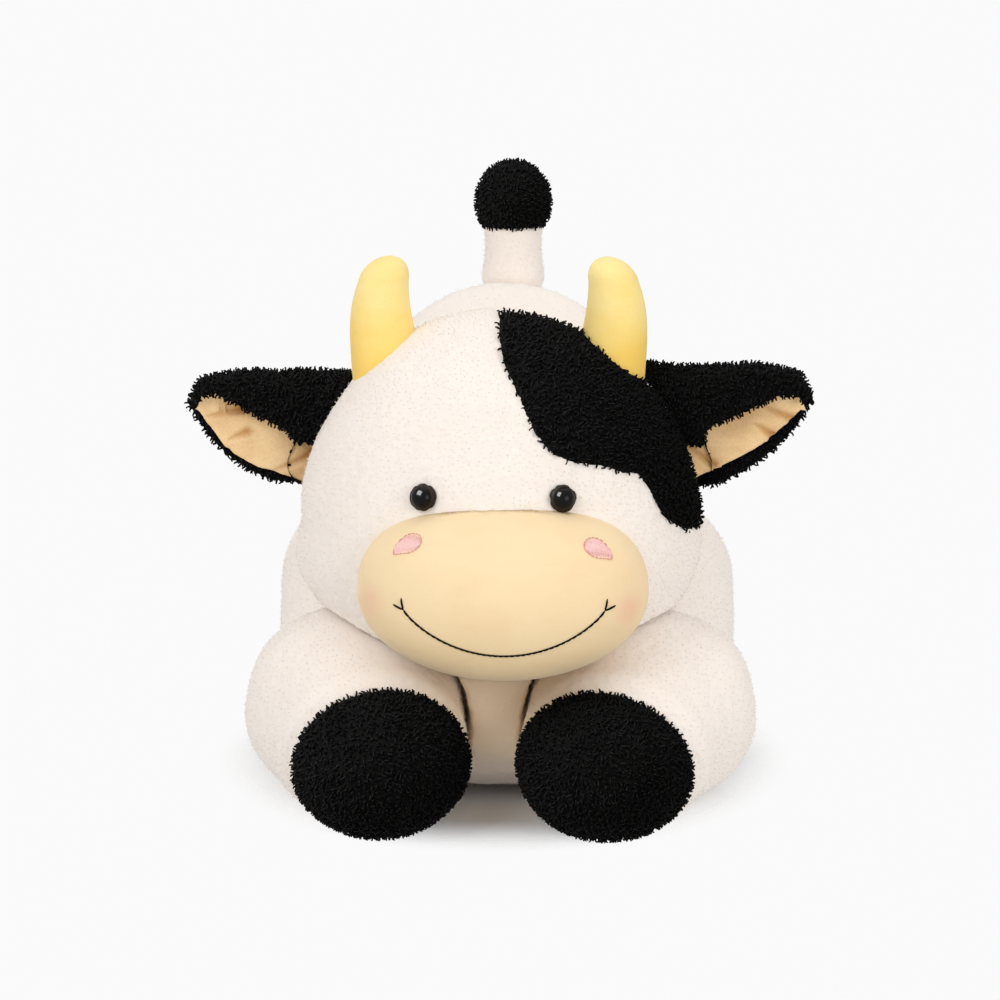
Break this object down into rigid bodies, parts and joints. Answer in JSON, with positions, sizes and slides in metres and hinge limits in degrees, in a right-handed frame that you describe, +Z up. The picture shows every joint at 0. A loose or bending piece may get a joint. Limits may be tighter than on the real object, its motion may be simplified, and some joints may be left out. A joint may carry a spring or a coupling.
{
  "type": "plush cow",
  "caption": "Stuffed cow lying on its belly, with a black patch on the face, a cream muzzle, folded ears, soft horns, black hooves, and a head, ears, legs and tail that turn at their seams.",
  "frame": {"origin": "centre of the footprint, on the floor", "axes": "+Z up; the cow looks along -Y; its own left side is at +X"},
  "size_m": [0.3472, 0.3946, 0.333],
  "materials": {
    "white_pile": "matt curly pile",
    "black_pile": "matt loop pile",
    "muzzle": "matt short pile",
    "horn": "matt short pile",
    "ear_lining": "matt short pile",
    "eye": "gloss",
    "washer": "matt",
    "stuffing": "loose fibre"
  },
  "bodies": {
    "body": {"body_cover": "white_pile", "body_filling": "stuffing"},
    "head": {"head_cover": "white_pile", "face_patch": "black_pile", "head_filling": "stuffing", "muzzle_cover": "muzzle", "muzzle_filling": "stuffing", "eye_left": "eye", "eye_washer_left": "washer", "horn_cover_left": "horn", "horn_filling_left": "stuffing", "eye_right": "eye", "eye_washer_right": "washer", "horn_cover_right": "horn", "horn_filling_right": "stuffing"},
    "tail": {"tail_cover": "white_pile", "tail_tuft": "black_pile", "tail_filling": "stuffing"},
    "ear_left": {"ear_outer_left": "black_pile", "ear_lining_left": "ear_lining"},
    "ear_right": {"ear_outer_right": "black_pile", "ear_lining_right": "ear_lining"},
    "front_leg_left": {"front_leg_cover_left": "white_pile", "front_hoof_left": "black_pile", "front_leg_filling_left": "stuffing"},
    "front_leg_right": {"front_leg_cover_right": "white_pile", "front_hoof_right": "black_pile", "front_leg_filling_right": "stuffing"},
    "hind_leg_left": {"hind_leg_cover_left": "white_pile", "hind_hoof_left": "black_pile", "hind_leg_filling_left": "stuffing"},
    "hind_leg_right": {"hind_leg_cover_right": "white_pile", "hind_hoof_right": "black_pile", "hind_leg_filling_right": "stuffing"}
  },
  "joints": [
    {"name": "head_nod", "type": "hinge", "parent": "body", "child": "head", "pos_m": [0, -0.005, 0.125], "axis": [-1, 0, 0], "range_deg": [0, 12]},
    {"name": "tail_lean", "type": "hinge", "parent": "body", "child": "tail", "pos_m": [0, 0.127, 0.2642], "axis": [-1, 0, 0], "range_deg": [-12, 55], "stiffness_Nm_per_rad": 0.05},
    {"name": "ear_swing_left", "type": "hinge", "parent": "head", "child": "ear_left", "pos_m": [0.0995, -0.058, 0.2], "axis": [-0.3846, 0, 0.9231], "range_deg": [-22, 22], "stiffness_Nm_per_rad": 0.02},
    {"name": "ear_swing_right", "type": "hinge", "parent": "head", "child": "ear_right", "pos_m": [-0.0995, -0.058, 0.2], "axis": [0.3846, 0, 0.9231], "range_deg": [-22, 22], "stiffness_Nm_per_rad": 0.02},
    {"name": "front_leg_spread_left", "type": "hinge", "parent": "body", "child": "front_leg_left", "pos_m": [0.0785, -0.0885, 0.048], "axis": [0, 0, 1], "range_deg": [-4, 26], "stiffness_Nm_per_rad": 0.2},
    {"name": "front_leg_spread_right", "type": "hinge", "parent": "body", "child": "front_leg_right", "pos_m": [-0.0785, -0.0885, 0.048], "axis": [0, 0, -1], "range_deg": [-4, 26], "stiffness_Nm_per_rad": 0.2},
    {"name": "hind_leg_spread_left", "type": "hinge", "parent": "body", "child": "hind_leg_left", "pos_m": [0.084, 0.083, 0.084], "axis": [0, 0, 1], "range_deg": [-3, 20], "stiffness_Nm_per_rad": 0.2},
    {"name": "hind_leg_spread_right", "type": "hinge", "parent": "body", "child": "hind_leg_right", "pos_m": [-0.084, 0.083, 0.084], "axis": [0, 0, -1], "range_deg": [-3, 20], "stiffness_Nm_per_rad": 0.2}
  ]
}
